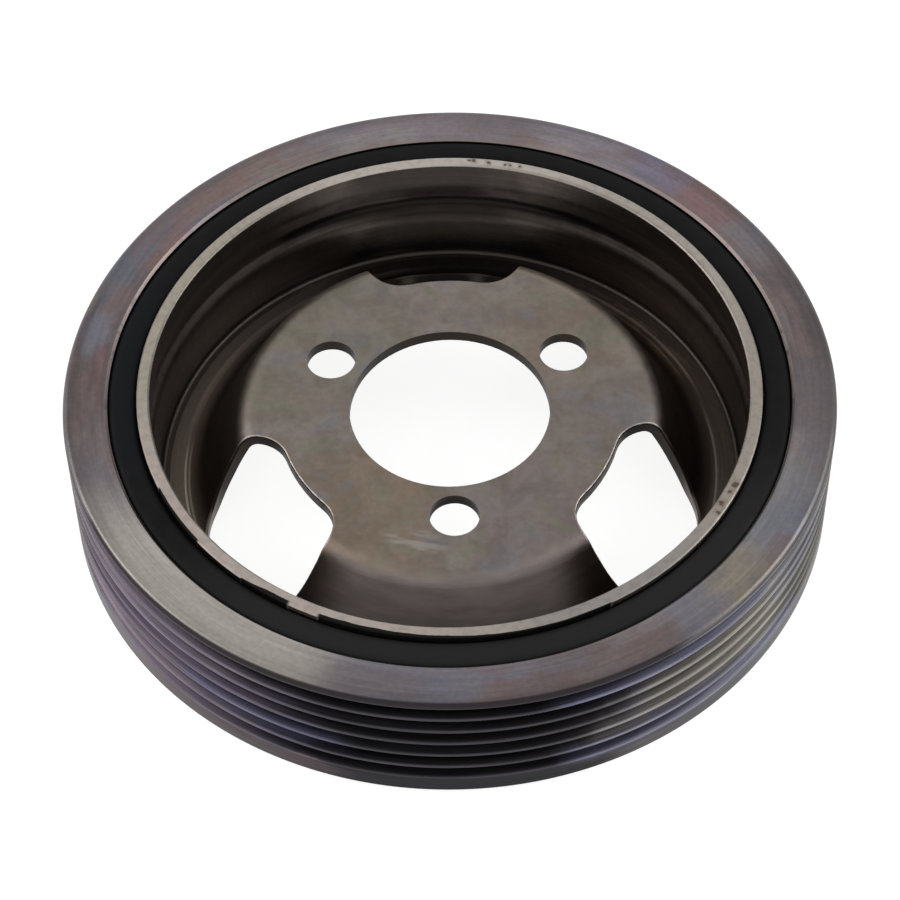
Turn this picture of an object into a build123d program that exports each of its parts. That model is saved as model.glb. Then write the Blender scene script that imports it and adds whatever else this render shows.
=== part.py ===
from build123d import *
import os
from math import hypot, radians, tan

# Crankshaft pulley with a torsional damper: a grooved outer ring, a rubber ring squeezed into
# the gap, and a pressed sheet-steel hub. The three are bonded for good, so nothing moves.
# Millimetres. Z is the crankshaft's axis, and Z = 0 is the ring's rear face, on which it rests. The
# hub's sizes are those of the sheet's front face, and each radius builds on the one inside it.

# Hub: centre plate, from the bore outwards
sheet = 2.3
bore_diameter = 36.7
plate_width = 19.6
bolt_count = 3
bolt_hole_diameter = 9.0
bolt_bore_land = 2.05
bolt_start_angle = 30.0

# Hub: the slope round the plate, and the trough at its foot
slope_width = 8.9
plate_bend_radius = 4.5
trough_width = 7.15
trough_bend_radius = 4.75
trough_corner_radius = 0.8
trough_set_back = 0.8

# Hub: wall and rim. A bead rolled into the wall locks the rubber in place.
plate_recess = 7.4
wall_lean = 0.3
bead_drop = 11.8
bead_reach = 2.1
bead_radius = 2.0
shoulder_drop = 2.5
shoulder_reach = 0.5
shoulder_radius = 4.0
lip_length = 5.2
lip_blend_radius = 8.0
rim_stand_out = 0.6
rim_edge_break = 0.25

# Windows, punched through the plate's edge and the slope, midway between the bolt holes
window_width = 29.0
window_plate_cut = 6.5
window_foot_cut = 0.6
window_inner_corner = 6.5
window_outer_corner = 9.0
punched_edge_radius = 0.4

# Rubber ring
rubber_thickness = 5.3
rubber_front_recess = 0.7
rubber_back_height = 4.0
rubber_bulge = 0.5

# Outer ring, and its grooves for a ribbed belt with the usual 3.56 mm pitch
ring_wall = 8.1
ring_edge_chamfer = 0.6
ring_bore_chamfer = 0.5
groove_count = 6
groove_pitch = 3.56
groove_angle = 40.0
groove_crest_land = 0.75
groove_crest_break = 0.15
groove_root_land = 0.63
front_flange = 1.0
rear_flange = 4.24

# Radii that follow, from the bore out to the ring's crests, which comes to a ring 140 mm across
bore_radius = bore_diameter / 2
bolt_circle_radius = bore_radius + bolt_bore_land + bolt_hole_diameter / 2
plate_edge_radius = bore_radius + plate_width
slope_foot_radius = plate_edge_radius + slope_width
trough_edge_radius = slope_foot_radius + trough_width
rim_inner_radius = trough_edge_radius + wall_lean
rubber_inner_radius = rim_inner_radius + sheet
ring_bore_radius = rubber_inner_radius + rubber_thickness
ring_radius = ring_bore_radius + ring_wall

# Heights that follow, from the ring's rear face up
ring_width = rear_flange + groove_count * groove_pitch + front_flange
rim_top = ring_width + rim_stand_out
plate_top = rim_top - plate_recess
trough_top = trough_set_back + sheet
lip_bottom = rim_top - lip_length
bead_height = rim_top - bead_drop
shoulder_height = bead_height - shoulder_drop
rubber_top = ring_width - rubber_front_recess


# Space in front of the sheet, from the axis to its front face: plate, slope, trough, wall and rim
with BuildSketch(Plane.XZ) as front_space:
    with BuildLine():
        front_line = FilletPolyline(
            (bore_radius, plate_top),
            (plate_edge_radius, plate_top),
            (slope_foot_radius, trough_top),
            (trough_edge_radius, trough_top),
            (rim_inner_radius + shoulder_reach, shoulder_height),
            (rim_inner_radius + bead_reach, bead_height),
            (rim_inner_radius, lip_bottom),
            (rim_inner_radius, rim_top),
            radius=[
                plate_bend_radius,
                trough_bend_radius,
                trough_corner_radius,
                shoulder_radius,
                bead_radius,
                lip_blend_radius,
            ],
        )
        Polyline(front_line @ 1, (0, rim_top), (0, plate_top), front_line @ 0)
    make_face()

# The same space grown by the sheet's thickness, which reaches to the sheet's rear face
with BuildSketch(Plane.XZ) as rear_space:
    add(front_space.sketch_local)
    offset(amount=sheet)

# The sheet's section is what lies between the two, from the bore to the rim
with BuildSketch(Plane.XZ) as sheet_section:
    add(rear_space.sketch_local)
    add(front_space.sketch_local, mode=Mode.SUBTRACT)
    with Locations((bore_radius, 0)):
        Rectangle(ring_radius, rim_top, align=Align.MIN, mode=Mode.INTERSECT)

# Space inside the outer ring's bore, which has a shallow groove that follows the hub's bead
with BuildSketch(Plane.XZ) as bore_space:
    with BuildLine():
        half_groove = lip_bottom - bead_height
        bore_line = FilletPolyline(
            (ring_bore_radius, 0),
            (ring_bore_radius, bead_height - half_groove),
            (ring_bore_radius + bead_reach, bead_height),
            (ring_bore_radius, lip_bottom),
            (ring_bore_radius, ring_width),
            radius=[lip_blend_radius, bead_radius + sheet + rubber_thickness, lip_blend_radius],
        )
        Polyline(bore_line @ 1, (0, ring_width), (0, 0), bore_line @ 0)
    make_face()

# Outer ring's section, with the belt grooves cut into its rim
with BuildSketch(Plane.XZ) as ring_section:
    Rectangle(ring_radius, ring_width, align=Align.MIN)
    add(bore_space.sketch_local, mode=Mode.SUBTRACT)
    rim_corners = ring_section.vertices().group_by(Axis.X)[-1]
    chamfer(rim_corners, length=ring_edge_chamfer)
    bore_corners = ring_section.vertices().group_by(Axis.X)[0]
    rear_corner = bore_corners.group_by(Axis.Y)[0]
    front_corner = bore_corners.group_by(Axis.Y)[-1]
    chamfer(rear_corner + front_corner, length=ring_bore_chamfer)

    half_mouth = (groove_pitch - groove_crest_land) / 2
    half_root = groove_root_land / 2
    groove_depth = (half_mouth - half_root) / tan(radians(groove_angle / 2))
    groove_heights = [rear_flange + groove_pitch * (i + 0.5) for i in range(groove_count)]
    with Locations([(ring_radius, height) for height in groove_heights]):
        Polygon(
            (0, half_mouth),
            (-groove_depth, half_root),
            (-groove_depth, -half_root),
            (0, -half_mouth),
            align=None,
            mode=Mode.SUBTRACT,
        )
    crests = ring_section.vertices().group_by(Axis.X)[-1]
    lowest_mouth = groove_heights[0] - groove_pitch / 2
    highest_mouth = groove_heights[-1] + groove_pitch / 2
    chamfer(crests.filter_by_position(Axis.Y, lowest_mouth, highest_mouth), length=groove_crest_break)

# Rubber's section: a band with two bulging free faces, kept to the gap between hub and ring
with BuildSketch(Plane.XZ) as rubber_section:
    with BuildLine():
        gap_middle = rubber_inner_radius + rubber_thickness / 2
        front_face = ThreePointArc(
            (rubber_inner_radius, rubber_top),
            (gap_middle, rubber_top + rubber_bulge),
            (ring_bore_radius, rubber_top),
        )
        rear_face = ThreePointArc(
            (ring_bore_radius, rubber_back_height),
            (gap_middle, rubber_back_height - rubber_bulge),
            (rubber_inner_radius, rubber_back_height),
        )
        outer_corners = [(ring_radius, rubber_top), (ring_radius, rubber_back_height)]
        Polyline(front_face @ 1, *outer_corners, rear_face @ 0)
        inner_corners = [(slope_foot_radius, rubber_back_height), (slope_foot_radius, rubber_top)]
        Polyline(rear_face @ 1, *inner_corners, front_face @ 0)
    make_face()
    add(bore_space.sketch_local, mode=Mode.INTERSECT)
    add(rear_space.sketch_local, mode=Mode.SUBTRACT)

# Window, drawn on the +X side: its inner edge runs round the plate, its sides are parallel
with BuildSketch(Plane.XY) as window:
    Rectangle(slope_foot_radius + window_foot_cut, window_width, align=(Align.MIN, Align.CENTER))
    Circle(plate_edge_radius - window_plate_cut, mode=Mode.SUBTRACT)
    fillet(window.vertices().group_by(Axis.X)[-1], radius=window_outer_corner)
    fillet(window.vertices().group_by(Axis.X)[0], radius=window_inner_corner)


def on_front_face(edge):
    """Whether an edge round a punched opening lies on the sheet's front face, not its rear one."""
    middle = edge.center()
    run = (hypot(middle.X, middle.Y) - plate_edge_radius) / slope_width
    front_height = plate_top - (plate_top - trough_top) * min(max(run, 0), 1)
    return middle.Z > front_height - sheet / 2


with BuildPart() as hub:
    revolve(sheet_section.sketch, axis=Axis.Z)
    chamfer(hub.faces().sort_by(Axis.Z)[-1].edges(), length=rim_edge_break)
    with PolarLocations(bolt_circle_radius, bolt_count, start_angle=bolt_start_angle):
        Hole(bolt_hole_diameter / 2)
    with BuildSketch(Plane.XY) as windows:
        with PolarLocations(0, bolt_count, start_angle=bolt_start_angle + 180 / bolt_count):
            add(window.sketch)
    extrude(amount=rim_top, mode=Mode.SUBTRACT)
    punched = hub.edges(Select.LAST).filter_by(Axis.Z, reverse=True)
    fillet(punched.filter_by(on_front_face), radius=punched_edge_radius)
hub.part.label = "hub"

with BuildPart() as pulley_ring:
    revolve(ring_section.sketch, axis=Axis.Z)
pulley_ring.part.label = "pulley_ring"

with BuildPart() as damper_rubber:
    revolve(rubber_section.sketch, axis=Axis.Z)
damper_rubber.part.label = "damper_rubber"

os.makedirs("parts", exist_ok=True)
export_step(hub.part, "parts/hub.step")
export_step(pulley_ring.part, "parts/pulley_ring.step")
export_step(damper_rubber.part, "parts/damper_rubber.step")
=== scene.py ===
from math import ceil, cos, pi, radians, sin, tan

import bpy
from mathutils import Matrix, Vector


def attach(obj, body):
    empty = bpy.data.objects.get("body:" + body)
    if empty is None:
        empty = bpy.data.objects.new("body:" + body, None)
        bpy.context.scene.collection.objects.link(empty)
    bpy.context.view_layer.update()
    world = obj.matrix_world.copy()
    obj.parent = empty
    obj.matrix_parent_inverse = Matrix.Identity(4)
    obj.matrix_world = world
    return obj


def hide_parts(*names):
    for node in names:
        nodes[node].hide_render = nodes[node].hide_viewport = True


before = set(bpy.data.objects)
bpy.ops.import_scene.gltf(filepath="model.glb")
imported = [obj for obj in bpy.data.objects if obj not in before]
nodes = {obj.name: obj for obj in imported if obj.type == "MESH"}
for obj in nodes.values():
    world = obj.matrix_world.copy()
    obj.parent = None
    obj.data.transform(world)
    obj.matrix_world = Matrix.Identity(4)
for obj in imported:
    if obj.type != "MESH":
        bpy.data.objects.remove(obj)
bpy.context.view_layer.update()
MM = 0.001

# Camera: where the photograph was taken from, fitted to the pulley's circles
CAMERA_PLACE = Vector((-7.40, -347.41, 439.37)) * MM
CAMERA_AIM = Vector((-0.413, -15.413, 26.6)) * MM
CAMERA_ROLL = radians(-0.962)
CAMERA_LENS = 119.17

# Studio
HORIZON_LIGHT = 0.95
ZENITH_LIGHT = 0.6
FLOOR_COLOUR = 0.34
FLOOR_GLOW = 0.86
FLOOR_REACH = 3.0
LIGHT_BOUNCES = 6
DIFFUSE_BOUNCES = 2
LAMP_SIZE = 0.8
LAMP_WATTS = 6.0

# Shapes, in millimetres, as the part has them
RING_RADIUS = 70.0
RING_BORE_RADIUS = 61.9
RING_WIDTH = 26.6
GROOVE_COUNT = 6
GROOVE_PITCH = 3.56
GROOVE_ANGLE = radians(40.0)
GROOVE_CREST_LAND = 0.75
GROOVE_ROOT_LAND = 0.63
REAR_FLANGE = 4.24
BEAD_HEIGHT = 15.4
BEAD_REACH = 2.1
LIP_BOTTOM = 22.0
RIM_TOP = 27.2
RIM_INNER_RADIUS = 54.3
RIM_OUTER_RADIUS = 56.6
PLATE_TOP = 19.8
SLOPE_FOOT_RADIUS = 46.85
TROUGH_TOP = 3.1
TROUGH_EDGE_RADIUS = 54.0
SHOULDER_REACH = 0.5
SHOULDER_HEIGHT = 12.9
RIM_BREAK = 0.25
TROUGH_FLOOR_START = 49.7
SHEET = 2.3
RUBBER_BACK = 4.0
RUBBER_EDGE = 25.9
RUBBER_CROWN = 26.4

# Finer shapes that the part leaves out, in millimetres, and the fineness of the meshes
CREVICE_DEPTH = 1.1
GROOVE_ROUNDING = 0.25
FRONT_ROUNDING = 1.1
REAR_ROUNDING = 0.15
BORE_ROUNDING = 0.12
STEPS_ROUND = 320
ARC_STEP = radians(15)


# Shapes


def right_of(step):
    """The unit normal on the right-hand side of a step in the (radius, height) plane."""
    return Vector((step.y, -step.x)).normalized()


def rounded(corners, closed=True):
    """An outline through (radius, height, corner radius) points, as points with their normals.

    Every corner is an arc that meets its straight neighbours smoothly, so one normal serves each point.
    The normals point to the right of the way that the outline runs."""
    places = [Vector(corner[:2]) for corner in corners]
    points = []
    for i, (here, size) in enumerate(zip(places, [corner[2] for corner in corners])):
        if not closed and i in (0, len(places) - 1):
            step = places[1] - here if i == 0 else here - places[i - 1]
            points.append((here, right_of(step)))
            continue
        back = (places[i - 1] - here).normalized()
        ahead = (places[(i + 1) % len(places)] - here).normalized()
        turn = pi - back.angle(ahead)
        leftwards = back.x * ahead.y - back.y * ahead.x < 0
        middle = here + (back + ahead).normalized() * size / cos(turn / 2)
        start = here + back * size * tan(turn / 2) - middle
        pieces = max(2, ceil(turn / ARC_STEP))
        for k in range(pieces + 1):
            spoke = start.copy()
            spoke.rotate(Matrix.Rotation(turn * k / pieces * (1 if leftwards else -1), 2))
            points.append((middle + spoke, spoke.normalized() * (1 if leftwards else -1)))
    return points


def lathe(name, outline, material, closed=True):
    """A piece turned from an outline of (point, normal) pairs in millimetres."""
    verts = []
    normals = []
    for k in range(STEPS_ROUND):
        c, s = cos(2 * pi * k / STEPS_ROUND), sin(2 * pi * k / STEPS_ROUND)
        for point, normal in outline:
            verts.append((point.x * c * MM, point.x * s * MM, point.y * MM))
            normals.append((normal.x * c, normal.x * s, normal.y))
    size = len(outline)
    faces = []
    for k in range(STEPS_ROUND):
        a, b = k * size, (k + 1) % STEPS_ROUND * size
        for i in range(size if closed else size - 1):
            j = (i + 1) % size
            faces.append((a + i, b + i, b + j, a + j))
    mesh = bpy.data.meshes.new(name)
    mesh.from_pydata(verts, [], faces)
    mesh.shade_smooth()
    mesh.normals_split_custom_set_from_vertices(normals)
    mesh.materials.append(material)
    piece = bpy.data.objects.new(name, mesh)
    bpy.context.scene.collection.objects.link(piece)
    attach(piece, "root")
    return piece


def ring_outline():
    """The outer ring's section, counter-clockwise: bore, rear face, grooved rim, front face."""
    half_mouth = (GROOVE_PITCH - GROOVE_CREST_LAND) / 2
    half_root = GROOVE_ROOT_LAND / 2
    root_radius = RING_RADIUS - (half_mouth - half_root) / tan(GROOVE_ANGLE / 2)
    half_bead = LIP_BOTTOM - BEAD_HEIGHT
    corners = [
        (RING_BORE_RADIUS, 0.5, BORE_ROUNDING),
        (RING_BORE_RADIUS + 0.5, 0.0, BORE_ROUNDING),
        (RING_RADIUS - 0.6, 0.0, REAR_ROUNDING),
        (RING_RADIUS, 0.6, REAR_ROUNDING),
    ]
    for i in range(GROOVE_COUNT):
        height = REAR_FLANGE + GROOVE_PITCH * (i + 0.5)
        corners += [
            (RING_RADIUS, height - half_mouth, GROOVE_ROUNDING),
            (root_radius, height - half_root, GROOVE_ROUNDING),
            (root_radius, height + half_root, GROOVE_ROUNDING),
            (RING_RADIUS, height + half_mouth, GROOVE_ROUNDING),
        ]
    corners += [
        (RING_RADIUS, RING_WIDTH, FRONT_ROUNDING),
        (RING_BORE_RADIUS + 0.5, RING_WIDTH, BORE_ROUNDING),
        (RING_BORE_RADIUS, RING_WIDTH - 0.5, BORE_ROUNDING),
        (RING_BORE_RADIUS, LIP_BOTTOM, 8.0),
        (RING_BORE_RADIUS + BEAD_REACH, BEAD_HEIGHT, 9.6),
        (RING_BORE_RADIUS, BEAD_HEIGHT - half_bead, 8.0),
    ]
    return rounded(corners)


def wall_outline():
    """The cup's inner face, from the edge of its rim down to the start of the trough's flat floor."""
    corners = [
        (RIM_INNER_RADIUS, RIM_TOP - RIM_BREAK, 0.0),
        (RIM_INNER_RADIUS, LIP_BOTTOM, 8.0),
        (RIM_INNER_RADIUS + BEAD_REACH, BEAD_HEIGHT, 2.0),
        (RIM_INNER_RADIUS + SHOULDER_REACH, SHOULDER_HEIGHT, 4.0),
        (TROUGH_EDGE_RADIUS, TROUGH_TOP, 0.8),
        (TROUGH_FLOOR_START, TROUGH_TOP + 0.02, 0.0),
    ]
    tucked_end = Vector((TROUGH_FLOOR_START - 0.3, TROUGH_TOP - 0.05))
    return rounded(corners, closed=False) + [(tucked_end, Vector((0, 1)))]


def behind_wall_face(face):
    """Whether a face of the hub lies where the finer inner face of the cup takes its place."""
    middle = face.center / MM
    radius = middle.xy.length
    inwards = -face.normal.xy.dot(middle.xy) / radius
    on_wall = inwards > 0.2 and radius > RIM_INNER_RADIUS - 1 and middle.z < RIM_TOP - RIM_BREAK
    on_floor = face.normal.z > 0.2 and radius > TROUGH_FLOOR_START and middle.z < TROUGH_TOP + SHEET / 2
    return on_wall or on_floor


def without(node, name, left_out):
    """A copy of a node's piece without some faces, with the normals that the others have there."""
    source = nodes[node].data
    kept = [face for face in source.polygons if not left_out(face)]
    used = sorted({vertex for face in kept for vertex in face.vertices})
    place_of = {vertex: place for place, vertex in enumerate(used)}
    faces = [[place_of[vertex] for vertex in face.vertices] for face in kept]
    mesh = bpy.data.meshes.new(name)
    mesh.from_pydata([source.vertices[vertex].co for vertex in used], [], faces)
    mesh.shade_smooth()
    corners = [corner for face in kept for corner in face.loop_indices]
    mesh.normals_split_custom_set([source.corner_normals[corner].vector for corner in corners])
    mesh.materials.append(source.materials[0])
    piece = bpy.data.objects.new(name, mesh)
    bpy.context.scene.collection.objects.link(piece)
    piece.matrix_world = nodes[node].matrix_world
    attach(piece, "root")
    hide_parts(node)
    return piece


def arch(low, high, base, crown, pieces=28, fullness=3.0):
    """A rubber face that bulges between two walls and dips into a crevice along each.

    It runs from the inner wall to the outer one, with normals that point the way it bulges."""
    middle, half = (low + high) / 2, (high - low) / 2
    rise = crown - base
    points = []
    for k in range(pieces + 1):
        share = -cos(pi * k / pieces)
        height = max(1 - abs(share) ** fullness, 0.0) ** (1 / fullness)
        if 0 < k < pieces:
            slope = -rise / half * share * abs(share) ** (fullness - 2) / height ** (fullness - 1)
            normal = Vector((-slope, 1.0)).normalized() * (1 if rise > 0 else -1)
        else:
            normal = Vector((share, 0.0))
        points.append((Vector((middle + half * share, base + rise * height)), normal))
    return points


def rubber_outline():
    """The rubber's section: bulging front and rear faces, and sides that stay inside the gap's walls."""
    inner, outer = RIM_OUTER_RADIUS + 0.02, RING_BORE_RADIUS - 0.02
    front = arch(inner, outer, RUBBER_EDGE - CREVICE_DEPTH, RUBBER_CROWN)
    rear = arch(inner, outer, RUBBER_BACK + CREVICE_DEPTH, RUBBER_BACK - 0.5)
    return front[::-1] + rear


# Materials


class Graph:
    """A material's node tree, built by short calls that take sockets or plain numbers."""

    def __init__(self, name):
        self.material = bpy.data.materials.new(name)
        self.material.use_nodes = True
        self.tree = self.material.node_tree
        self.tree.nodes.clear()
        self.shader = self.add("ShaderNodeBsdfPrincipled")
        output = self.add("ShaderNodeOutputMaterial")
        self.tree.links.new(self.shader.outputs[0], output.inputs["Surface"])

    def add(self, kind, **settings):
        node = self.tree.nodes.new(kind)
        for key, value in settings.items():
            setattr(node, key, value)
        return node

    def put(self, socket, value):
        if isinstance(value, bpy.types.NodeSocket):
            self.tree.links.new(value, socket)
        elif value is not None:
            socket.default_value = value

    def math(self, operation, *values, clamp=False):
        node = self.add("ShaderNodeMath", operation=operation, use_clamp=clamp)
        for socket, value in zip(node.inputs, values):
            self.put(socket, value)
        return node.outputs[0]

    def vector(self, x, y, z):
        node = self.add("ShaderNodeCombineXYZ")
        for socket, value in zip(node.inputs, (x, y, z)):
            self.put(socket, value)
        return node.outputs[0]

    def scaled(self, value, factor):
        return self.math("MULTIPLY", value, factor)

    def place(self):
        """Sets x, y, z and radius in millimetres, and the unit direction from the axis."""
        where = self.add("ShaderNodeTexCoord").outputs["Object"]
        split = self.add("ShaderNodeSeparateXYZ")
        self.put(split.inputs[0], where)
        self.x, self.y, self.z = [self.scaled(split.outputs[i], 1000.0) for i in range(3)]
        self.where = self.vector(self.x, self.y, self.z)
        squares = [self.math("MULTIPLY", value, value) for value in (self.x, self.y)]
        self.radius = self.math("SQRT", self.math("ADD", *squares))
        self.across = self.math("DIVIDE", self.x, self.radius)
        self.along = self.math("DIVIDE", self.y, self.radius)
        self.outward = self.vector(self.across, self.along, 0.0)

    def wander(self, turn):
        """Turns the direction from the axis by an uneven angle in radians, so that sectors end unevenly."""
        across = self.math("SUBTRACT", self.across, self.product(self.along, turn))
        along = self.math("ADD", self.along, self.product(self.across, turn))
        self.outward = self.vector(across, along, 0.0)

    def noise(self, where, scale=1.0, detail=3.0, rough=0.55, distort=0.0):
        node = self.add("ShaderNodeTexNoise")
        self.put(node.inputs["Vector"], where)
        node.inputs["Scale"].default_value = scale
        node.inputs["Detail"].default_value = detail
        node.inputs["Roughness"].default_value = rough
        node.inputs["Distortion"].default_value = distort
        return node.outputs["Fac"]

    def drawn(self, level, fineness, wander, detail=3.0):
        """Noise drawn out round the axis: fine along the level, and slow from one azimuth to the next."""
        across, along = self.scaled(self.across, wander), self.scaled(self.along, wander)
        return self.noise(self.vector(self.scaled(level, fineness), across, along), detail=detail)

    def step(self, value, low, high, out_low=0.0, out_high=1.0):
        """A smooth rise from out_low to out_high as the value goes from low to high."""
        node = self.add("ShaderNodeMapRange", interpolation_type="SMOOTHSTEP")
        names = ("Value", "From Min", "From Max", "To Min", "To Max")
        for name, number in zip(names, (value, low, high, out_low, out_high)):
            self.put(node.inputs[name], number)
        return node.outputs[0]

    def product(self, first, *others):
        for other in others:
            first = self.math("MULTIPLY", first, other)
        return first

    def facing(self, azimuth):
        """The cosine of the angle between the direction from the axis and an azimuth in degrees."""
        node = self.add("ShaderNodeVectorMath", operation="DOT_PRODUCT")
        self.put(node.inputs[0], self.outward)
        node.inputs[1].default_value = (cos(radians(azimuth)), sin(radians(azimuth)), 0.0)
        return node.outputs["Value"]

    def sector(self, azimuth, half_width, fade, share=1.0):
        """The share inside a sector round the axis, falling to 0 over the fade. All angles in degrees."""
        inside, outside = cos(radians(half_width)), cos(radians(half_width + fade))
        return self.step(self.facing(azimuth), outside, inside, 0.0, share)

    def band(self, level, low, high, fade):
        """1 where the level lies from low to high, falling to 0 over the fade at both ends."""
        off = self.math("ABSOLUTE", self.math("SUBTRACT", level, (low + high) / 2))
        return self.step(off, (high - low) / 2 + fade, (high - low) / 2)

    def spot(self, x, y, size, unevenness):
        """1 in the middle of a spot on the front, falling to 0 at its uneven edge."""
        steps = [self.math("SUBTRACT", *pair) for pair in ((self.x, x), (self.y, y))]
        away = self.math("SQRT", self.math("ADD", *[self.math("POWER", step, 2.0) for step in steps]))
        away = self.math("ADD", away, self.scaled(unevenness, 2.4 * size))
        return self.step(away, 1.2 * size, 0.7 * size)

    def mix(self, share, first, second, blend="MIX"):
        node = self.add("ShaderNodeMix", data_type="RGBA", blend_type=blend)
        self.put(node.inputs[0], share)
        for socket, value in zip((node.inputs[6], node.inputs[7]), (first, second)):
            self.put(socket, value if isinstance(value, bpy.types.NodeSocket) else (*value, 1.0))
        return node.outputs[2]

    def shade(self, colour, low, high, value):
        """The colour times a grey that goes from low to high with the value."""
        grey = self.math("ADD", low, self.scaled(value, high - low))
        return self.mix(1.0, colour, self.vector(grey, grey, grey), "MULTIPLY")

    def cut_faces(self):
        """Masks for the punched faces through the sheet and for the rounded edge along them."""
        split = self.add("ShaderNodeSeparateXYZ")
        self.put(split.inputs[0], self.add("ShaderNodeTexCoord").outputs["Normal"])
        x, y, z = split.outputs
        outward = self.math("ADD", self.product(x, self.across), self.product(y, self.along))
        level = self.math("SUBTRACT", 1.0, self.product(z, z))
        sideways = self.math("SUBTRACT", level, self.product(outward, outward))
        inside = self.step(self.radius, 35.0, 34.5)
        turned = self.math("MAXIMUM", sideways, self.product(level, inside))
        return self.step(turned, 0.45, 0.75), self.step(turned, 0.03, 0.12)

    def bump(self, height, distance, normal=None, strength=1.0):
        node = self.add("ShaderNodeBump")
        self.put(node.inputs["Height"], height)
        node.inputs["Distance"].default_value = distance * MM
        node.inputs["Strength"].default_value = strength
        self.put(node.inputs["Normal"], normal)
        return node.outputs[0]

    def finish(self, colour, metallic, roughness, normal=None, **others):
        if not isinstance(colour, bpy.types.NodeSocket):
            colour = (*colour, 1.0)
        self.put(self.shader.inputs["Base Color"], colour)
        self.put(self.shader.inputs["Metallic"], metallic)
        self.put(self.shader.inputs["Roughness"], roughness)
        self.put(self.shader.inputs["Normal"], normal)
        for name, value in others.items():
            self.shader.inputs[name].default_value = value
        return self.material


def tinted(g, colour, tints):
    """The colour with the tints of some sectors laid over it."""
    for azimuth, half_width, fade, share, tint in tints:
        colour = g.mix(g.sector(azimuth, half_width, fade, share), colour, tint)
    return colour


def patched(g, colour, level, patches, end_fade, fade):
    """The colour with soft patches over it, each from one azimuth and one level to another."""
    for first, last, low, high, share, tint in patches:
        here = g.sector((first + last) / 2, (last - first) / 2, end_fade, share)
        colour = g.mix(g.product(here, g.band(level, low, high, fade)), colour, tint)
    return colour


PLATE_TINTS = [
    # azimuth, half width, fade, share, colour
    (232, 14, 22, 0.75, (0.25, 0.194, 0.142)),
    (300, 14, 20, 0.6, (0.222, 0.184, 0.178)),
    (352, 8, 16, 0.45, (0.2, 0.175, 0.158)),
    (92, 12, 18, 0.4, (0.28, 0.235, 0.215)),
    (40, 10, 22, 0.5, (0.265, 0.215, 0.175)),
    (140, 14, 26, 0.45, (0.235, 0.225, 0.18)),
]
# Painted shade: the dark rows fill the hollow of the bead, the bands below it, the lower wall at the back
# and a line at the left. The two light rows are painted highlights.
WALL_SHADE_AND_HIGHLIGHTS = [
    # from and to azimuth, from and to height, share, colour
    (68, 72, 17.4, 20.4, 0.8, (0.25, 0.215, 0.2)),
    (108, 114, 17.4, 20.4, 0.85, (0.33, 0.285, 0.265)),
    (86, 98, 18.6, 26.7, 0.72, (0.03, 0.026, 0.024)),
    (62, 118, 14.8, 16.6, 0.9, (0.011, 0.0095, 0.0085)),
    (84, 96, 12.4, 14.0, 0.8, (0.024, 0.02, 0.018)),
    (78, 102, 5.0, 11.0, 0.85, (0.016, 0.0135, 0.012)),
    (124, 160, 13.6, 14.4, 0.6, (0.04, 0.034, 0.031)),
]
# Painted highlights: thin light lines on the bends of the trough's floor.
FLOOR_HIGHLIGHT_LINES = [
    # azimuth, half width, fade, radius, half breadth, share
    (194, 14, 12, 48.9, 0.12, 0.7),
    (194, 14, 12, 49.6, 0.12, 0.9),
    (352, 12, 12, 49.6, 0.12, 0.4),
    (44, 12, 12, 48.9, 0.1, 0.35),
    (44, 16, 12, 50.2, 0.2, 0.4),
    (132, 22, 20, 49.7, 0.6, 0.22),
    (90, 30, 20, 53.4, 0.12, 0.12),
]
RIM_TINTS = [
    # azimuth, half width, fade, share, colour
    (90, 14, 24, 0.9, (0.56, 0.51, 0.465)),
    (165, 24, 16, 0.8, (0.42, 0.385, 0.32)),
    (225, 26, 20, 0.9, (0.5, 0.435, 0.395)),
    (302, 10, 18, 0.9, (0.335, 0.31, 0.295)),
    (345, 20, 18, 0.7, (0.37, 0.33, 0.29)),
]
RIM_PITS = [
    # x, y and size in millimetres
    (49.4, -25.9, 0.66),
    (48.3, -27.4, 0.4),
    (46.6, -29.8, 0.6),
    (45.9, -31.9, 0.42),
    (5.7, 55.45, 0.32),
    (6.6, 55.3, 0.36),
    (9.4, 54.65, 0.4),
    (12.6, 54.0, 0.3),
    (13.5, 53.85, 0.34),
    (15.4, 53.5, 0.28),
]
RUBBER_SMEARS = [
    # from and to azimuth, and the reach over the rim's outer edge there in millimetres
    (203.5, 217.0, 0.3, 0.4),
    (229.0, 238.5, 0.2, 0.85),
    (245.0, 297.0, 0.66, 0.14),
]
BRIGHT_RIM_SIDE = [(241.5, 3.0, 1.0), (320.0, 28.0, 3.0)]
BLACK_SMEAR = (0.006, 0.0055, 0.005)


def rim_smears(g):
    """Where rubber squeezed out of the gap lies over the rim's outer edge."""
    ragged = g.noise(g.vector(g.scaled(g.across, 11.0), g.scaled(g.along, 11.0), 0.0), detail=4.0)
    inwards = g.math("SUBTRACT", RIM_OUTER_RADIUS, g.radius)
    covered = 0.0
    for first, last, first_reach, last_reach in RUBBER_SMEARS:
        middle, half = (first + last) / 2, (last - first) / 2
        run = g.facing(middle + 90)
        reach = g.step(run, -sin(radians(half)), sin(radians(0.7 * half)), first_reach, last_reach)
        limit = g.product(g.math("ADD", g.scaled(ragged, 1.1), 0.45), reach)
        near = g.step(g.math("SUBTRACT", inwards, limit), 0.04, -0.04)
        covered = g.math("MAXIMUM", covered, g.product(g.sector(middle, half, 0.7), near))
    return g.product(covered, g.step(g.z, RIM_TOP - 2.0, RIM_TOP - 1.6))


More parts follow.
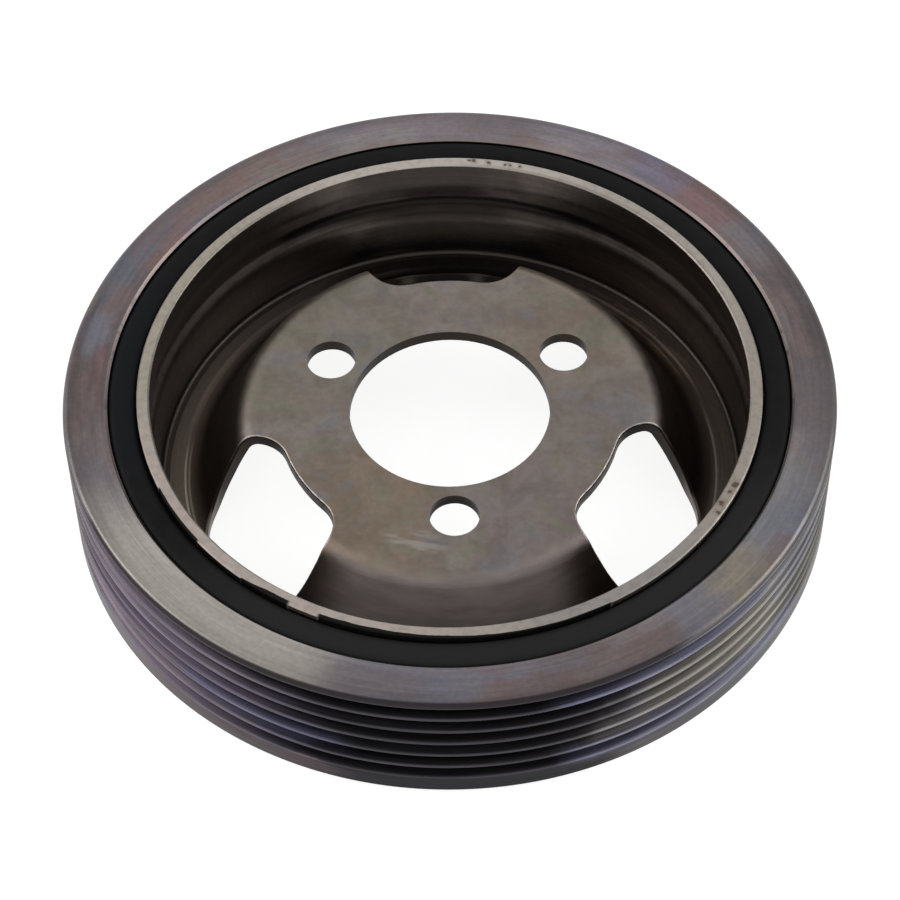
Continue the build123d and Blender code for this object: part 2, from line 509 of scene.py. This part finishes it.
def rubbed_strokes(g):
    """Pale strokes rubbed across the front of the plate."""
    turn = radians(-12)
    x, y = g.math("ADD", g.x, 7.2), g.math("ADD", g.y, 30.2)
    along = g.math("ADD", g.scaled(x, cos(turn)), g.scaled(y, sin(turn)))
    across = g.math("SUBTRACT", g.scaled(y, cos(turn)), g.scaled(x, sin(turn)))
    length_share = g.math("POWER", g.scaled(along, 1 / 7.5), 2.0)
    width_share = g.math("POWER", g.scaled(across, 1 / 3.0), 2.0)
    reach = g.math("ADD", length_share, width_share)
    streaks = g.noise(g.vector(g.scaled(along, 0.1), g.scaled(across, 0.6), 0.0), detail=2.0)
    return g.product(g.step(reach, 1.0, 0.1), g.step(streaks, 0.42, 0.6))


def plate_colour(g, patch, fine):
    blotch = g.noise(g.where, scale=0.1, detail=3.0, distort=0.9)
    colour = g.mix(g.step(blotch, 0.4, 0.6), (0.236, 0.197, 0.174), (0.262, 0.232, 0.212))
    colour = tinted(g, colour, PLATE_TINTS)
    colour = g.mix(g.step(patch, 0.54, 0.66, 0.0, 0.8), colour, (0.222, 0.21, 0.162))
    colour = g.mix(g.step(patch, 0.45, 0.34, 0.0, 0.75), colour, (0.222, 0.21, 0.216))
    worn = g.noise(g.where, scale=0.16, detail=5.0, rough=0.62, distort=0.5)
    colour = g.shade(colour, 0.9, 1.06, g.step(worn, 0.36, 0.6))
    colour = g.shade(colour, 0.95, 1.05, g.step(fine, 0.35, 0.65))
    return g.mix(g.scaled(rubbed_strokes(g), 0.6), colour, (0.4, 0.37, 0.34))


def rolled_colour(g, rolled):
    """The dark skin of the pressing, with the stains on the trough's floor, painted highlight lines along
    its bends and painted shade at its back edge.
    """
    colour = g.mix(g.step(rolled, 0.35, 0.65), (0.108, 0.089, 0.078), (0.088, 0.072, 0.063))
    colour = g.mix(g.sector(190, 40, 40, 0.8), colour, (0.145, 0.12, 0.104))
    floor = g.product(g.step(g.radius, 46.0, 48.0), g.step(g.z, TROUGH_TOP + 2.5, TROUGH_TOP + 0.5))
    streaks = g.step(g.drawn(g.radius, 0.9, 9.0), 0.46, 0.62)
    rust = g.product(floor, g.sector(42, 10, 10, 0.75), g.step(g.radius, 52.4, 51.2), streaks)
    colour = g.mix(rust, colour, (0.21, 0.155, 0.115))
    colour = g.mix(g.product(floor, g.sector(180, 24, 22, 0.6)), colour, (0.2, 0.17, 0.145))
    colour = g.mix(g.product(floor, g.sector(142, 18, 18, 0.8)), colour, (0.155, 0.14, 0.132))
    # Painted shade on the outer edge of the floor at the back, below the wall.
    rear_floor_shade = g.product(floor, g.sector(90, 15, 14, 0.8), g.step(g.radius, 53.0, 52.2))
    colour = g.mix(rear_floor_shade, colour, (0.05, 0.041, 0.035))
    for azimuth, half_width, fade, radius, half_breadth, share in FLOOR_HIGHLIGHT_LINES:
        line = g.band(g.radius, radius - half_breadth, radius + half_breadth, 0.15)
        line = g.product(line, floor, g.sector(azimuth, half_width, fade, share))
        colour = g.mix(line, colour, (0.5, 0.43, 0.37))
    return colour


def wall_material():
    """The cup's inner face, with painted shade at the back in the hollow of the bead and the bands below
    it, and painted highlights beside the hollow.
    """
    g = Graph("pressed_steel_wall")
    g.place()
    rolled = g.drawn(g.math("ADD", g.radius, g.z), 1.6, 2.0, detail=2.0)
    colour = rolled_colour(g, rolled)
    cloud = g.math("SUBTRACT", g.noise(g.where, scale=0.09, detail=2.0), 0.5)
    g.wander(g.scaled(cloud, 0.4))
    colour = patched(g, colour, g.math("ADD", g.z, g.scaled(cloud, 2.0)), WALL_SHADE_AND_HIGHLIGHTS, 14.0, 1.4)
    # Painted shade over the trough's corner at the back, which dims its highlight.
    corner = g.product(g.band(g.radius, 53.2, 54.3, 0.2), g.step(g.z, TROUGH_TOP + 1.4, TROUGH_TOP + 0.9))
    colour = g.mix(g.product(corner, g.sector(75, 75, 15, 0.6)), colour, (0.042, 0.037, 0.034))
    # Painted shade over the trough's corner at the left, which dims its highlight.
    inner_corner_shade = g.band(g.radius, 52.6, 54.2, 0.25)
    inner_corner_shade = g.product(inner_corner_shade, g.step(g.z, TROUGH_TOP + 1.4, TROUGH_TOP + 0.9))
    colour = g.mix(g.product(inner_corner_shade, g.sector(162, 28, 16, 0.85)), colour, (0.058, 0.05, 0.046))
    fine = g.noise(g.where, scale=0.7, detail=3.0)
    normal = g.bump(rolled, 0.02, g.bump(fine, 0.05))
    return g.finish(colour, 1.0, g.step(fine, 0.3, 0.7, 0.38, 0.44), normal)


def rim_colour(g):
    scuffed = g.noise(g.where, scale=0.8, detail=4.0)
    uneven = g.math("SUBTRACT", g.noise(g.where, scale=1.3, detail=3.0), 0.5)
    colour = tinted(g, (0.44, 0.4, 0.355), RIM_TINTS)
    colour = g.shade(colour, 0.9, 1.06, g.step(scuffed, 0.7, 0.4))
    # Painted shade on the rim's inner edge at the left and on its inner border at the back-right, which
    # dims their highlights.
    inner_edge_shade = g.step(g.radius, RIM_INNER_RADIUS + 0.4, RIM_INNER_RADIUS + 0.25)
    inner_edge_shade = g.product(inner_edge_shade, g.sector(180, 45, 25))
    colour = g.shade(colour, 1.0, 0.5, inner_edge_shade)
    inner_border_shade = g.step(g.radius, RIM_INNER_RADIUS + 0.8, RIM_INNER_RADIUS + 0.3)
    colour = g.shade(colour, 1.0, 0.72, g.product(inner_border_shade, g.sector(48, 22, 20)))
    for x, y, size in RIM_PITS:
        colour = g.mix(g.scaled(g.spot(x, y, 2.0 * size, uneven), 0.35), colour, (0.25, 0.19, 0.15))
        colour = g.mix(g.scaled(g.spot(x, y, size, uneven), 0.85), colour, (0.1, 0.075, 0.06))
    return colour


def hub_material():
    g = Graph("pressed_steel")
    g.place()
    patch = g.noise(g.vector(g.y, g.z, g.x), scale=0.13, detail=3.0, distort=0.6)
    fine = g.noise(g.where, scale=0.7, detail=4.0)
    rolled = g.drawn(g.math("ADD", g.radius, g.z), 1.6, 2.0, detail=2.0)

    on_plate = g.product(g.step(g.z, PLATE_TOP - 3.2, PLATE_TOP - 0.3), g.step(g.radius, 45.0, 42.0))
    steel = g.mix(on_plate, rolled_colour(g, rolled), plate_colour(g, patch, fine))
    # Painted shade: a dark, rough and unmetallic patch low behind the plate at the back, seen through the
    # window.
    shade_behind_plate = g.product(g.step(g.y, 38.0, 42.0), g.band(g.radius, 40.0, 47.6, 0.4))
    shade_behind_plate = g.product(shade_behind_plate, g.step(g.z, 9.0, 7.0))
    steel = g.mix(shade_behind_plate, steel, (0.02, 0.016, 0.0135))
    on_slope = g.step(g.radius, SLOPE_FOOT_RADIUS + 1, SLOPE_FOOT_RADIUS - 1)
    on_slope = g.product(g.step(g.z, 3.6, 9.0), on_slope)
    # Painted reflection: the front of the slope is lighter and streaked, rougher and partly unmetallic.
    front_slope_painted_light = g.product(on_slope, g.sector(268, 22, 16), g.step(g.z, PLATE_TOP - 0.1, PLATE_TOP - 2.0))
    streaked = g.step(g.drawn(g.z, 0.5, 4.0), 0.35, 0.65)
    steel = g.mix(front_slope_painted_light, steel, g.mix(streaked, (0.36, 0.31, 0.295), (0.46, 0.39, 0.37)))
    # Painted highlight: a lighter band along the plate's bend at the back.
    bend_highlight = g.product(g.band(g.radius, 36.6, 37.6, 1.5), g.sector(80, 26, 16))
    steel = g.mix(g.scaled(bend_highlight, 0.5), steel, (0.46, 0.39, 0.31))
    # Painted highlight along the rounded edges of the arches, broken up unevenly, and painted shade on the
    # punched faces through the sheet.
    cut_shade, edge = g.cut_faces()
    uneven_edge_highlight = g.step(g.noise(g.where, scale=0.5, detail=3.0), 0.4, 0.6, 0.25, 0.85)
    edge = g.product(edge, g.step(g.z, 13.0, 16.0), g.step(g.y, 14.0, 6.0), uneven_edge_highlight)
    steel = g.mix(edge, steel, (0.55, 0.49, 0.45))
    steel = g.mix(cut_shade, steel, (0.026, 0.022, 0.019))

    grain = g.noise(g.where, scale=1.6, detail=5.0, rough=0.65)
    normal = g.bump(rolled, 0.02, g.bump(grain, 0.03))
    roughness = g.math("ADD", g.step(fine, 0.3, 0.7, 0.38, 0.44), g.scaled(on_plate, 0.04))
    roughness = g.math("ADD", roughness, g.scaled(front_slope_painted_light, 0.14))
    roughness = g.math("ADD", roughness, g.scaled(shade_behind_plate, 0.5))
    metal = g.math("SUBTRACT", 1.0, g.math("MAXIMUM", g.scaled(front_slope_painted_light, 0.35), shade_behind_plate))
    return g.finish(steel, metal, roughness, normal, **{"Specular IOR Level": 0.1})


def rim_material():
    """The rim: a bright scuffed top, dark sides, and rubber smeared over its outer edge."""
    g = Graph("pressed_steel_rim")
    g.place()
    depth = 0.0
    for azimuth, half_width, fade in BRIGHT_RIM_SIDE:
        depth = g.math("MAXIMUM", depth, g.sector(azimuth, half_width, fade))
    depth = g.product(depth, g.step(g.radius, RIM_OUTER_RADIUS - 0.6, RIM_OUTER_RADIUS - 0.3))
    on_top = g.step(g.math("ADD", g.z, depth), RIM_TOP - 0.32, RIM_TOP - 0.12)
    colour = g.mix(on_top, (0.1, 0.082, 0.072), rim_colour(g))
    smeared = rim_smears(g)
    colour = g.mix(smeared, colour, BLACK_SMEAR)
    grain = g.noise(g.where, scale=1.6, detail=5.0, rough=0.65)
    normal = g.bump(smeared, 0.05, g.bump(grain, 0.03))
    metal = g.math("SUBTRACT", 1.0, smeared)
    roughness = g.step(grain, 0.3, 0.7, 0.38, 0.44)
    return g.finish(colour, metal, roughness, normal, **{"Specular IOR Level": 0.1})


FACE_TINTS = [
    # azimuth, half width, fade, share, colour
    (8, 10, 12, 0.8, (0.15, 0.122, 0.126)),
    (45, 5, 9, 0.85, (0.245, 0.178, 0.17)),
    (62, 7, 9, 0.9, (0.29, 0.262, 0.295)),
    (92, 9, 14, 0.8, (0.285, 0.242, 0.26)),
    (119, 6, 7, 0.85, (0.265, 0.215, 0.2)),
    (142, 10, 12, 0.7, (0.205, 0.18, 0.2)),
    (172, 12, 16, 0.85, (0.158, 0.128, 0.135)),
    (227, 11, 21, 0.97, (0.475, 0.437, 0.4)),
    (268, 10, 12, 0.85, (0.21, 0.195, 0.23)),
    (294, 9, 6, 0.85, (0.2, 0.165, 0.165)),
    (317, 8, 3, 0.92, (0.295, 0.262, 0.22)),
    (334, 7, 8, 0.85, (0.25, 0.245, 0.262)),
    (352, 6, 8, 0.6, (0.2, 0.175, 0.185)),
]
FACE_PATCHES = [
    # from and to azimuth, from and to radius, share, colour
    (8, 14, 62.0, 63.6, 0.7, (0.25, 0.205, 0.2)),
    (26, 33, 63.5, 66.5, 0.6, (0.25, 0.22, 0.225)),
    (37, 44, 64.0, 68.0, 0.75, (0.27, 0.17, 0.175)),
    (48, 54, 63.5, 69.0, 0.75, (0.235, 0.21, 0.29)),
    (68, 73, 62.0, 63.8, 0.7, (0.36, 0.31, 0.295)),
    (78, 84, 64.0, 69.5, 0.5, (0.22, 0.18, 0.185)),
    (96, 106, 62.0, 65.4, 0.6, (0.33, 0.3, 0.3)),
    (108, 116, 66.0, 69.0, 0.5, (0.25, 0.235, 0.275)),
    (125, 138, 64.0, 67.0, 0.75, (0.265, 0.183, 0.168)),
    (142, 149, 62.4, 64.8, 0.65, (0.24, 0.155, 0.15)),
    (148, 158, 65.2, 69.0, 0.75, (0.17, 0.178, 0.215)),
    (164, 170, 64.6, 67.4, 0.7, (0.225, 0.228, 0.27)),
    (172, 181, 63.4, 65.2, 0.7, (0.185, 0.12, 0.118)),
    (174, 184, 66.4, 68.2, 0.55, (0.165, 0.13, 0.12)),
    (188, 196, 62.2, 64.0, 0.5, (0.25, 0.21, 0.21)),
    (252, 262, 64.5, 68.5, 0.5, (0.2, 0.16, 0.17)),
    (276, 284, 65.5, 69.5, 0.6, (0.17, 0.12, 0.115)),
    (284, 300, 64.0, 66.6, 0.4, (0.185, 0.14, 0.14)),
    (296, 304, 62.4, 64.4, 0.6, (0.28, 0.25, 0.26)),
    (306.5, 310, 62.0, 70.0, 0.7, (0.24, 0.225, 0.265)),
    (326, 331, 63.0, 68.5, 0.6, (0.225, 0.225, 0.27)),
    (334, 345, 62.0, 64.0, 0.5, (0.3, 0.285, 0.29)),
]
SIDE_TINTS = [
    # azimuth, half width, fade, share, colour
    (197, 9, 10, 0.88, (0.104, 0.092, 0.096)),
    (220, 14, 14, 0.95, (0.098, 0.08, 0.104)),
    (240, 7, 8, 0.9, (0.092, 0.078, 0.1)),
    # Painted shade: the front flanks are near black where they face the shadowed floor.
    (268, 13, 22, 0.97, (0.024, 0.0225, 0.028)),
    (307, 9, 10, 0.9, (0.195, 0.184, 0.192)),
    (322, 8, 8, 0.88, (0.2, 0.192, 0.178)),
    (345, 12, 12, 0.92, (0.082, 0.077, 0.069)),
]
SIDE_PATCHES = [
    # from and to azimuth, from and to height, share, colour
    (230, 248, 9.0, 14.0, 0.55, (0.1, 0.102, 0.165)),
    (218, 238, 15.5, 18.5, 0.55, (0.112, 0.092, 0.135)),
    (205, 225, 6.0, 8.5, 0.5, (0.14, 0.11, 0.125)),
    (214, 248, 0.0, 3.2, 0.6, (0.2, 0.145, 0.155)),
    (200, 232, 19.5, 21.0, 0.4, (0.15, 0.13, 0.14)),
    (288, 316, 21.8, 25.2, 0.75, (0.13, 0.13, 0.2)),
    (300, 322, 11.0, 20.0, 0.55, (0.175, 0.162, 0.13)),
    (290, 326, 4.4, 7.5, 0.7, (0.135, 0.135, 0.2)),
    (306, 326, 0.0, 3.2, 0.4, (0.2, 0.2, 0.25)),
    (326, 336, 14.0, 24.0, 0.5, (0.16, 0.16, 0.19)),
]
# The first row is painted shade on the front of the ring's corner, where it faces the shadowed floor. The
# other rows are darker patches at the right.
CORNER_SHADE_AND_PATCHES = [
    # from and to azimuth, from and to height, share, colour
    (205, 300, 24.6, 26.35, 0.93, (0.035, 0.03, 0.033)),
    (336, 350, 24.6, 26.4, 0.5, (0.1, 0.09, 0.085)),
    (352, 370, 24.6, 26.4, 0.6, (0.07, 0.065, 0.06)),
]


def face_material():
    """The ring's front face: soft temper colours drawn out round it, and one pale polished stretch."""
    g = Graph("turned_iron_face")
    g.place()
    broad = g.noise(g.where, scale=0.05, detail=4.0, distort=0.6)
    blotch = g.drawn(g.radius, 0.22, 6.0, detail=4.0)
    other = g.drawn(g.math("ADD", g.radius, 40.0), 0.3, 9.0, detail=4.0)
    streaky = g.drawn(g.radius, 0.9, 3.0)
    lines = g.drawn(g.radius, 4.0, 2.0, detail=2.0)
    g.wander(g.scaled(g.math("SUBTRACT", other, 0.5), 0.05))
    level = g.math("ADD", g.radius, g.scaled(g.math("SUBTRACT", other, 0.5), 3.0))
    colour = g.mix(g.step(broad, 0.4, 0.6), (0.21, 0.182, 0.187), (0.2, 0.19, 0.212))
    colour = tinted(g, colour, FACE_TINTS)
    colour = patched(g, colour, level, FACE_PATCHES, 4.0, 0.9)
    stained = g.math("SUBTRACT", 1.0, g.sector(227, 18, 20))
    colour = g.mix(g.product(stained, g.step(blotch, 0.52, 0.66, 0.0, 0.55)), colour, (0.235, 0.172, 0.165))
    colour = g.mix(g.product(stained, g.step(blotch, 0.47, 0.34, 0.0, 0.45)), colour, (0.185, 0.185, 0.218))
    colour = g.mix(g.product(stained, g.step(other, 0.56, 0.7, 0.0, 0.4)), colour, (0.235, 0.225, 0.19))
    colour = g.shade(colour, 0.94, 1.06, g.step(streaky, 0.35, 0.65))
    colour = g.shade(colour, 0.95, 1.05, g.step(lines, 0.35, 0.65))
    grain = g.noise(g.where, scale=1.1, detail=4.0, rough=0.6)
    colour = g.shade(colour, 0.945, 1.05, g.step(grain, 0.36, 0.64))
    colour = g.shade(colour, 1.0, 0.83, g.step(g.radius, 66.0, 69.0))
    colour = patched(g, colour, g.z, CORNER_SHADE_AND_PATCHES, 6.0, 0.25)

    # Painted highlight: a light line on the bore's chamfer at the back and left, broken by nicks.
    bore_edge_highlight = g.step(g.radius, RING_BORE_RADIUS + 0.6, RING_BORE_RADIUS + 0.4)
    nicked = g.noise(g.vector(g.scaled(g.across, 16.0), g.scaled(g.along, 16.0), 0.0), detail=4.0)
    bore_edge_highlight = g.product(bore_edge_highlight, g.sector(100, 90, 30, 0.48), g.step(nicked, 0.38, 0.46, 0.0, 1.0))
    colour = g.mix(bore_edge_highlight, colour, (0.3, 0.24, 0.215))
    return g.finish(colour, 1.0, g.step(streaky, 0.35, 0.65, 0.37, 0.45), g.bump(lines, 0.03))


def side_material():
    """The grooved rim: dark flanks with thin light and dark lines, bluish where the polish took a tint, and
    painted shade on the front flanks.
    """
    g = Graph("turned_iron_side")
    g.place()
    broad = g.noise(g.where, scale=0.05, detail=4.0, distort=0.6)
    bands = g.drawn(g.z, 0.32, 1.5, detail=2.0)
    lines = g.drawn(g.z, 2.6, 2.0, detail=4.0)
    blotch = g.drawn(g.z, 0.16, 7.0, detail=4.0)
    g.wander(g.scaled(g.math("SUBTRACT", broad, 0.5), 0.28))
    level = g.math("ADD", g.z, g.scaled(g.math("SUBTRACT", blotch, 0.5), 4.0))
    colour = g.mix(g.step(bands, 0.4, 0.6), (0.17, 0.152, 0.178), (0.18, 0.168, 0.146))
    colour = g.mix(g.step(blotch, 0.53, 0.66, 0.0, 0.4), colour, (0.16, 0.12, 0.135))
    colour = tinted(g, colour, SIDE_TINTS)
    colour = patched(g, colour, level, SIDE_PATCHES, 7.0, 1.2)
    colour = g.shade(colour, 0.66, 1.34, g.step(lines, 0.3, 0.7))
    colour = g.shade(colour, 0.85, 1.4, g.step(g.radius, RING_RADIUS - 0.35, RING_RADIUS - 0.08))
    flange = g.math("MAXIMUM", g.step(g.z, 4.3, 3.9), g.step(g.z, RING_WIDTH - 1.3, RING_WIDTH - 0.9))
    colour = g.shade(colour, 1.0, 0.36, flange)
    colour = g.mix(g.step(g.z, RING_WIDTH - 0.7, RING_WIDTH - 0.35, 0.0, 0.7), colour, (0.2, 0.185, 0.19))
    colour = patched(g, colour, g.z, CORNER_SHADE_AND_PATCHES, 6.0, 0.25)
    grain = g.noise(g.where, scale=2.2, detail=3.0)
    return g.finish(colour, 1.0, g.step(bands, 0.35, 0.65, 0.36, 0.46), g.bump(grain, 0.015))


def rubber_material():
    g = Graph("rubber")
    g.place()
    cloud = g.noise(g.where, scale=0.25, detail=5.0)
    grain = g.noise(g.where, scale=3.0, detail=4.0)
    colour = g.mix(g.step(cloud, 0.35, 0.7), (0.0038, 0.0038, 0.0042), (0.0066, 0.0066, 0.0072))
    # Painted highlight: a soft lighter sheen on the front of the rubber.
    colour = g.mix(g.sector(280, 40, 30, 0.8), colour, (0.019, 0.018, 0.0185))
    colour = g.mix(g.sector(175, 14, 16, 0.6), colour, (0.0045, 0.005, 0.0075))
    normal = g.bump(cloud, 0.12)
    normal = g.bump(grain, 0.02, normal)
    roughness = g.step(cloud, 0.35, 0.65, 0.48, 0.62)
    return g.finish(colour, 0.0, roughness, normal, **{"Specular IOR Level": 0.1})


# Studio: a white floor and an even pale surround, brighter towards the horizon


def make_world():
    world = bpy.data.worlds.new("surround")
    bpy.context.scene.world = world
    world.use_nodes = True
    tree = world.node_tree
    tree.nodes.clear()
    where = tree.nodes.new("ShaderNodeTexCoord")
    split = tree.nodes.new("ShaderNodeSeparateXYZ")
    rise = tree.nodes.new("ShaderNodeMapRange")
    rise.inputs["To Min"].default_value = HORIZON_LIGHT
    rise.inputs["To Max"].default_value = ZENITH_LIGHT
    back = tree.nodes.new("ShaderNodeBackground")
    back.inputs["Color"].default_value = (1.0, 1.0, 1.0, 1.0)
    output = tree.nodes.new("ShaderNodeOutputWorld")
    tree.links.new(where.outputs["Generated"], split.inputs[0])
    tree.links.new(split.outputs[2], rise.inputs["Value"])
    tree.links.new(rise.outputs[0], back.inputs["Strength"])
    tree.links.new(back.outputs[0], output.inputs["Surface"])


def make_floor():
    mesh = bpy.data.meshes.new("floor")
    r = FLOOR_REACH
    mesh.from_pydata([(-r, -r, 0), (r, -r, 0), (r, r, 0), (-r, r, 0)], [], [(0, 1, 2, 3)])
    floor = bpy.data.objects.new("floor", mesh)
    floor.location.z = -0.1 * MM
    bpy.context.scene.collection.objects.link(floor)
    g = Graph("floor_white")
    path = g.add("ShaderNodeLightPath")
    seen = g.math("ADD", path.outputs["Is Camera Ray"], path.outputs["Is Glossy Ray"])
    seen = g.math("ADD", seen, path.outputs["Is Transmission Ray"], clamp=True)
    g.put(g.shader.inputs["Emission Strength"], g.scaled(seen, FLOOR_GLOW))
    g.shader.inputs["Emission Color"].default_value = (1.0, 1.0, 1.0, 1.0)
    g.shader.inputs["Specular IOR Level"].default_value = 0.0
    mesh.materials.append(g.finish((FLOOR_COLOUR,) * 3, 0.0, 0.9))


def soft_box(name, place):
    data = bpy.data.lights.new(name, "AREA")
    data.shape = "RECTANGLE"
    data.size = LAMP_SIZE
    data.size_y = LAMP_SIZE
    data.energy = LAMP_WATTS
    light = bpy.data.objects.new(name, data)
    bpy.context.scene.collection.objects.link(light)
    turn = (-Vector(place)).to_track_quat("-Z", "Y")
    light.matrix_world = Matrix.Translation(place) @ turn.to_matrix().to_4x4()


def paint_front(piece, material, height, least_radius=0.0):
    """Gives the faces whose middles lie above a height and beyond a radius, in mm, a second material."""
    mesh = piece.data
    mesh.materials.append(material)
    for face in mesh.polygons:
        middle = face.center / MM
        in_front = middle.z > height and middle.xy.length > least_radius
        face.material_index = 1 if in_front else 0


def make_camera():
    data = bpy.data.cameras.new("camera")
    data.lens = CAMERA_LENS
    data.sensor_width = 36.0
    data.sensor_fit = "HORIZONTAL"
    data.clip_start = 0.01
    data.clip_end = 20.0
    camera = bpy.data.objects.new("camera", data)
    bpy.context.scene.collection.objects.link(camera)
    turn = (CAMERA_AIM - CAMERA_PLACE).to_track_quat("-Z", "Y").to_matrix()
    turn = turn @ Matrix.Rotation(CAMERA_ROLL, 3, "Z")
    camera.matrix_world = Matrix.Translation(CAMERA_PLACE) @ turn.to_4x4()
    bpy.context.scene.camera = camera


def dress(node, material):
    data = nodes[node].data
    data.materials.clear()
    data.materials.append(material)


make_camera()
make_world()
make_floor()
soft_box("box_left", (-1.2, 0.3, 1.0))
soft_box("box_right", (1.3, 0.2, 0.9))

iron = side_material()
dress("pulley_ring", iron)
steel = hub_material()
dress("hub", steel)
rubber = rubber_material()
dress("damper_rubber", rubber)

ring = lathe("ring_turned", ring_outline(), iron)
paint_front(ring, face_material(), RING_WIDTH - 0.4)
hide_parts("pulley_ring")
damper = lathe("rubber_moulded", rubber_outline(), rubber)
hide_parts("damper_rubber")
pressing = without("hub", "hub_pressed", behind_wall_face)
paint_front(pressing, rim_material(), LIP_BOTTOM, RIM_INNER_RADIUS)
wall = lathe("wall_face", wall_outline(), wall_material(), closed=False)

bpy.context.scene.cycles.max_bounces = LIGHT_BOUNCES
bpy.context.scene.cycles.diffuse_bounces = DIFFUSE_BOUNCES
bpy.context.scene.view_settings.view_transform = "Standard"
